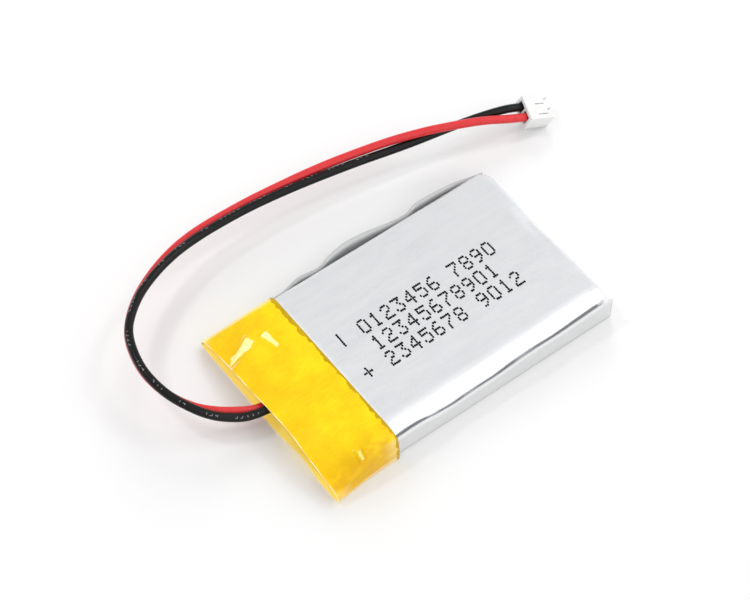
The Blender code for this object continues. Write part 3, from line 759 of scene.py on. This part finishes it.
def printed_marks():
    """Rows of generic digits in printed dots on the face, with the minus and plus marks beside them."""
    rng = Random(7)
    verts, faces = [], []

    def dot(x, y):
        x, y = x + rng.uniform(-0.025, 0.025), y + rng.uniform(-0.025, 0.025)
        w, h = DOT_HALF_W * rng.uniform(0.9, 1.1), DOT_HALF_H * rng.uniform(0.92, 1.08)
        base, sides = len(verts), 8
        z = face_height(x, y - CELL_Y) + FOIL / 2
        for lift in (-0.02, INK):
            for k in range(sides):
                a = 2 * pi * (k + 0.5) / sides
                verts.append((x + w * 1.08 * cos(a), y + h * 1.08 * sin(a), z + lift))
        faces.append([base + k for k in range(sides)][::-1])
        faces.append([base + sides + k for k in range(sides)])
        for k in range(sides):
            j = (k + 1) % sides
            faces.append([base + k, base + j, base + sides + j, base + sides + k])

    for text, (x0, y0) in zip(PRINT_LINES, PRINT_START):
        for place, char in enumerate(text):
            for row, bits in enumerate(DIGITS.get(char, "").split()):
                for column, bit in enumerate(bits):
                    if bit == "1":
                        dot(x0 + place * CHAR_PITCH + column * DOT_ACROSS, y0 - row * DOT_DOWN)
    (upper_x, upper_y), (lower_x, lower_y) = PRINT_START[0], PRINT_START[2]
    for k in range(7):
        dot(upper_x - MINUS_BACK, upper_y - k * DOT_DOWN)
    for k in range(-2, 3):
        dot(lower_x - PLUS_BACK, lower_y - (3 + k) * DOT_DOWN)
        if k:
            dot(lower_x - PLUS_BACK + k * DOT_ACROSS, lower_y - 3 * DOT_DOWN)
    ink = simple_paint("print_ink", (0.004, 0.004, 0.005), 0.9, 0.0, 0.2, 0.3, spec=0.05)
    piece("printed_marks", verts, faces, [ink], smooth=False)


# ---- tape band ----

# mouth outline, (y, z), from the far fold over the top to the near fold and back underneath
MOUTH_TOP = [
    (17.45, 1.9), (16.3, 2.4), (14.4, 2.85), (12.2, 3.2), (8.9, 3.7), (5.8, 3.85), (3.8, 3.95), (0.9, 4.4),
    (-1.0, 4.6), (-4.1, 4.85), (-6.6, 4.8), (-8.6, 4.3), (-10.4, 3.8), (-13.8, 3.2), (-16.2, 2.75),
    (-17.6, 2.3),
]
MOUTH_BOTTOM = [
    (-17.6, 0.35), (-15.7, 0.06), (-12.9, 0.2), (-11.4, 0.8), (-9.6, 1.35), (-8.0, 1.4), (-6.4, 1.1),
    (-4.5, 0.5), (-1.5, 0.1), (1.7, 0.06), (4.5, 0.06), (7.5, 0.06), (11.4, 0.06), (14.7, 0.08), (17.0, 0.16),
]
MOUTH_FAR = [(17.95, 0.4), (18.25, 0.85), (18.0, 1.35)]
MOUTH_NEAR = [(-18.15, 1.95), (-18.38, 1.3), (-18.15, 0.7)]
AROUND, ALONG = 460, 112  # points round the band and rows along it
FILM_LOW = 0.045  # the film's middle where it lies on the floor
EDGE_BEAD = 0.06  # radius of its cut edge


def body_outline():
    """Outline of the tape where it grips the pouch, with the same number of points as the mouth."""
    half, half_far, top, r = CUP_HALF + 1.0, CUP_HALF + 0.85, POUCH_TOP + 0.01, 2.3
    n_top, n_bottom = len(MOUTH_TOP), len(MOUTH_BOTTOM)
    upper = [(half_far - r * (1 - cos(radians(60))), top - r * (1 - sin(radians(60))))]
    upper += [(half_far - r - (half_far + half - 2 * r) * k / (n_top - 3), top) for k in range(n_top - 2)]
    upper += [(-(half - r * (1 - cos(radians(60)))), top - r * (1 - sin(radians(60))))]
    lower = [(-half + 0.3 + (half + half_far - 0.6) * k / (n_bottom - 1), FILM_LOW) for k in range(n_bottom)]
    rise, side = top - r * (1 - sin(radians(30))), r * (1 - cos(radians(30)))
    far = [(half_far, 0.35), (half_far, 2.4), (half_far - side, rise)]
    near = [(-(half - side), rise), (-half, 2.4), (-half, 0.35)]
    return [(y + CELL_Y, z) for y, z in far + upper + near + lower]


# how far the band has gone over from the pouch's outline to the mouth's, by x
TAPE_EASE = [
    (-27.8, 1.0), (-26.3, 0.84), (-24.4, 0.62), (-22.2, 0.37), (-20.2, 0.16), (-18.4, 0.03), (-16.9, 0.0),
    (-15.4, 0.0),
]


FACET_BLUR = 0.45  # width of a facet's soft rim


def facet_share(x, y, start, end, widths):
    """How far a point is inside a long patch of film that is pulled flat, from 0 to 1."""
    (ax, ay), (bx, by) = start, end
    run = hypot(bx - ax, by - ay)
    ux, uy = (bx - ax) / run, (by - ay) / run
    along, across = (x - ax) * ux + (y - ay) * uy, (y - ay) * ux - (x - ax) * uy
    width = widths[0] + (widths[1] - widths[0]) * min(max(along / run, 0.0), 1.0)
    share = 1.0
    for depth in (width - abs(across), along, run - along):
        share *= ease(depth / FACET_BLUR + 0.5)
    return share


# flat patches of the upper film between two points, with their half widths and slopes
LEFT_TILT, RIGHT_TILT = (0.351, 0.034), (-0.217, 0.279)
FACETS = [
    ((-27.9, 10.3), (-22.4, 11.8), (0.6, 1.2), LEFT_TILT),
    ((-20.2, 7.4), (-20.45, 11.4), (0.32, 0.75), LEFT_TILT),
    ((-21.4, -14.8), (-22.0, -17.9), (0.55, 0.5), RIGHT_TILT),
]


def flatten_facets(verts, top):
    """Moves the upper film's points on to each facet's plane, inside its outline."""
    for start, end, widths, tilt in FACETS:
        mx, my = (start[0] + end[0]) / 2, (start[1] + end[1]) / 2
        mz = min((hypot(verts[i][0] - mx, verts[i][1] - my), verts[i][2]) for i in top)[1]
        for i in top:
            x, y, z = verts[i]
            share = facet_share(x, y, start, end, widths)
            plane = mz + tilt[0] * (x - mx) + tilt[1] * (y - my)
            verts[i] = (x, y, z + (plane - z) * share)


def tape_wrinkle(x, y):
    """Soft dents, ridges and pulls in the upper film, as a change of height."""
    loose = ease((-17.0 - x) / 2.5)
    inner = ease((x - MOUTH_X) / 2.5)
    lift = 0.1 * bell(x, -18.3, 0.8) * bell(y, 14.4, 0.9)
    lift += 0.05 * bell(y + 0.35 * x, -2.5, 1.4) * loose * inner
    ridge_x = -21.4 - 0.08 * (y + 15.5) ** 2
    lift += 0.08 * bell(x, ridge_x, 0.42) * bell(y, -17.2, 0.9) * loose
    lift -= 0.1 * bell(x, -20.2, 1.6) * bell(y, -14.0, 1.8) * loose
    lift += 0.14 * bell(x, -26.4, 0.6) * bell(y, -15.9, 0.9)
    lift += 0.012 * sin(1.3 * y + 0.6 * x) * loose
    return lift


def mouth_edge(outline, paint):
    """The slightly swollen cut edge of the film round its open end, painted with a pale highlight."""
    points = [(MOUTH_X + EDGE_BEAD / 2, y, max(z, 0.08)) for y, z in outline[::2]]
    obj, spline = poly_curve("tape_cut_edge_highlight", points, EDGE_BEAD, 2, paint)
    spline.use_cyclic_u = True
    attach(obj, "root")


def tape_band(film, edge):
    """The band of film: round the pouch at one end, eased over to its loose, open mouth at the other."""
    mouth_points = MOUTH_FAR + MOUTH_TOP + MOUTH_NEAR + MOUTH_BOTTOM
    mouth = closed_curve(mouth_points, AROUND)
    body = closed_curve(body_outline(), AROUND)
    count = len(mouth_points)
    first_top, last_top = len(MOUTH_FAR) / count, (len(MOUTH_FAR) + len(MOUTH_TOP) - 1) / count
    first_low = (count - len(MOUTH_BOTTOM)) / count
    verts, top = [], []
    for r in range(ALONG):
        x = TAPE_EDGE_X + (MOUTH_X - TAPE_EDGE_X) * r / (ALONG - 1)
        t = reading(TAPE_EASE, x)[0]
        for k, ((by, bz), (my, mz)) in enumerate(zip(body, mouth)):
            share = k / AROUND
            lift = t ** 6 if share >= first_low else t
            y, z = by + (my - by) * t, bz + (mz - bz) * lift
            if first_top <= share <= last_top:
                z += tape_wrinkle(x, y)
                top.append(len(verts))
            verts.append((x, y, max(z, FILM_LOW)))
    flatten_facets(verts, top)
    mouth_edge(mouth, edge)
    obj = piece("tape_band", verts, [f[::-1] for f in grid_faces(ALONG, AROUND)], [film, edge],
                ["tape_wrap"])
    solidify(obj, TAPE, 0.0, 1)


# ---- leads and plug ----


def smooth_route(table, count):
    """Evenly numbered points on the smooth curve through the rows of a table."""
    out = []
    spans = len(table) - 1
    for k in range(count):
        u = spans * k / (count - 1)
        i = min(int(u), spans - 1)
        rows = [table[max(i - 1, 0)], table[i], table[i + 1], table[min(i + 2, spans)]]
        out.append([catmull(column, u - i) for column in zip(*rows)])
    return out


def plug_frame():
    """The plug's turn and the middle of its rear face; its x is towards the mating face, its y across."""
    roll, nose, yaw = (radians(a) for a in PLUG_TURN)
    turn = Matrix.Rotation(yaw, 3, "Z") @ Matrix.Rotation(nose, 3, "Y") @ Matrix.Rotation(roll, 3, "X")
    origin = Vector(PLUG_CORNER) + turn @ Vector((-PLUG_L, PLUG_W / 2, PLUG_T / 2))
    return turn, origin


def lead_paths():
    """Middle lines of the black and the red lead, from inside the tape's mouth to inside the plug."""
    turn, origin = plug_frame()
    entry = origin + turn @ Vector((-0.9, 0, 0))
    inside = origin + turn @ Vector((0.45, 0, 0))
    table = LEAD_ROUTE + [(*entry, PITCH / 2, PLUG_SPIN), (*inside, PITCH / 2, PLUG_SPIN)]
    middle = smooth_route(table, LEAD_POINTS)
    black, red = [], []
    for i, (x, y, z, half, angle) in enumerate(middle):
        here = Vector((x, y, z))
        ahead = Vector(middle[min(i + 1, len(middle) - 1)][:3])
        behind = Vector(middle[max(i - 1, 0)][:3])
        run = (ahead - behind).normalized()
        side = run.cross(Vector((0, 0, 1))).normalized()
        up = side.cross(run)
        offset = (side * cos(radians(angle)) + up * sin(radians(angle))) * half
        black.append(here + offset)
        red.append(here - offset)
    for path, sign in ((black, 1), (red, -1)):
        path[-1] = inside + turn @ Vector((0, sign * PITCH / 2, 0))
    return black, red


def lead(name, points, paint, node):
    obj, _ = poly_curve(name, points, WIRE_D / 2, 6, paint)
    obj.data.use_fill_caps = True
    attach(obj, "root")
    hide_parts(node)
    return obj


def plug_shell():
    """The plug's housing with softly moulded edges round its walls, slits and windows."""
    source = nodes["plug_housing"]
    bm = bmesh.new()
    bm.from_mesh(source.data)
    bmesh.ops.remove_doubles(bm, verts=bm.verts, dist=0.002 * MM)
    bmesh.ops.dissolve_limit(bm, angle_limit=radians(2), verts=bm.verts, edges=bm.edges)
    mesh = bpy.data.meshes.new("plug_shell")
    bm.to_mesh(mesh)
    bm.free()
    nylon = simple_paint("plug_nylon", (0.7, 0.7, 0.695), 0.4, 0.0, 0.04, 1.2, 0.02, 0.3)
    mesh.materials.append(nylon)
    obj = bpy.data.objects.new("plug_shell", mesh)
    obj.matrix_world = source.matrix_world.copy()
    bpy.context.scene.collection.objects.link(obj)
    bevel = obj.modifiers.new("moulded_edges", "BEVEL")
    bevel.width = 0.09 * MM
    bevel.segments = 2
    bevel.limit_method = "ANGLE"
    bevel.angle_limit = radians(40)
    mesh.shade_smooth()
    mesh.set_sharp_from_angle(angle=radians(45))
    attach(obj, "root")
    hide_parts("plug_housing")
    return obj


def paint_inner_pieces():
    """Materials of the pieces inside the pouch, under the tape and in the plug, by their slots."""
    paints = {
        "anode_coating": ((0.045, 0.045, 0.05), 0.7, 0.3, 0.25, 0.25, 0.02),
        "cathode_coating": ((0.09, 0.085, 0.09), 0.75, 0.2, 0.2, 0.2, 0.02),
        "separator_film": ((0.85, 0.85, 0.83), 0.6, 0.0, 0.05, 0.3, 0.008),
        "green_tape": ((0.1, 0.42, 0.24), 0.25, 0.0, 0.1, 0.8, 0.01),
        "tab_aluminium": ((0.8, 0.81, 0.83), 0.28, 1.0, 0.06, 0.2, 0.01),
        "nickel": ((0.66, 0.64, 0.6), 0.24, 1.0, 0.08, 0.25, 0.01),
        "seal_film": ((0.8, 0.74, 0.5), 0.3, 0.0, 0.08, 0.5, 0.008),
        "pad_foam": ((0.12, 0.12, 0.12), 0.9, 0.0, 0.4, 0.15, 0.05),
        "board_laminate": ((0.03, 0.22, 0.1), 0.35, 0.0, 0.15, 0.35, 0.012),
        "chip_resin": ((0.025, 0.025, 0.028), 0.55, 0.0, 0.3, 0.12, 0.008),
        "capacitor_ceramic": ((0.5, 0.38, 0.24), 0.5, 0.0, 0.15, 0.15, 0.01),
        "solder": ((0.72, 0.72, 0.73), 0.2, 1.0, 0.1, 0.4, 0.03),
        "tinned_copper": ((0.78, 0.72, 0.64), 0.3, 1.0, 0.2, 0.1, 0.03),
        "contact_tin": ((0.8, 0.76, 0.66), 0.28, 1.0, 0.08, 0.2, 0.01),
    }
    made = {}
    for part in frame["record"]["subparts"]:
        slot = part["material_slot"]
        if slot in paints:
            if slot not in made:
                colour, rough, metal, vary, size, depth = paints[slot]
                made[slot] = simple_paint(slot, colour, rough, metal, vary, size, depth)
            nodes[part["node"]].data.materials[0] = made[slot]


def path_length(points):
    return sum((b - a).length for a, b in zip(points, points[1:]))


def lead_print(points):
    """Small pale bars printed along the black lead's upper side, in spaced groups."""
    rng = Random(11)
    verts, faces = [], []
    radius = WIRE_D / 2 + 0.006

    def at(distance):
        run = 0.0
        for a, b in zip(points, points[1:]):
            step = (b - a).length
            if run + step >= distance:
                return a + (b - a) * ((distance - run) / step), (b - a).normalized()
            run += step
        return points[-1], (points[-1] - points[-2]).normalized()

    def bar(distance, length, angle, width):
        """One bar: length along the lead, width round it, both on the surface."""
        base = len(verts)
        for s in (0, 1):
            here, run = at(distance + s * length)
            side = run.cross(Vector((0, 0, 1))).normalized()
            up = side.cross(run)
            for k in range(4):
                a = angle + width / radius * (k / 3 - 0.5)
                verts.append(here + (side * cos(a) + up * sin(a)) * radius)
        for k in range(3):
            faces.append((base + k, base + k + 1, base + 5 + k, base + 4 + k))

    total = path_length(points)
    distance = 5.5
    while distance < total - 30:
        angle = radians(112) + 0.15 * sin(distance * 0.2)
        for _ in range(rng.randint(2, 5)):
            bar(distance, 0.07, angle, 0.34)
            if rng.random() < 0.6:
                bar(distance + 0.1, 0.3, angle + rng.choice((-0.22, 0.0, 0.22)), 0.07)
            distance += 0.85
        distance += rng.uniform(1.4, 3.2)
    ink = simple_paint("lead_print_ink", (0.3, 0.3, 0.3), 0.6, 0.0, 0.3, 0.3)
    obj = piece("lead_print", verts, faces, [ink], smooth=False)
    solidify(obj, 0.008, 1.0)
    return obj


def main():
    camera()
    studio()
    floor()
    foil = foil_paint()
    black_path, red_path = lead_paths()
    black_skin = insulation_paint("black_insulation", (0.003, 0.003, 0.0035), (0.008,) * 3, 0.28, 0.2)
    red_skin = insulation_paint("red_insulation", (0.56, 0.02, 0.024), (0.66, 0.038, 0.042), 0.32, 0.3)
    black = lead("black_lead_run", black_path, black_skin, "black_lead")
    red = lead("red_lead_run", red_path, red_skin, "red_lead")
    housing = plug_shell()
    marks = lead_print(black_path)
    pouch_shell(foil)
    pouch_cover_skin(foil)
    printed_marks()
    tape_band(tape_paint(), edge_highlight_paint())
    paint_inner_pieces()


main()
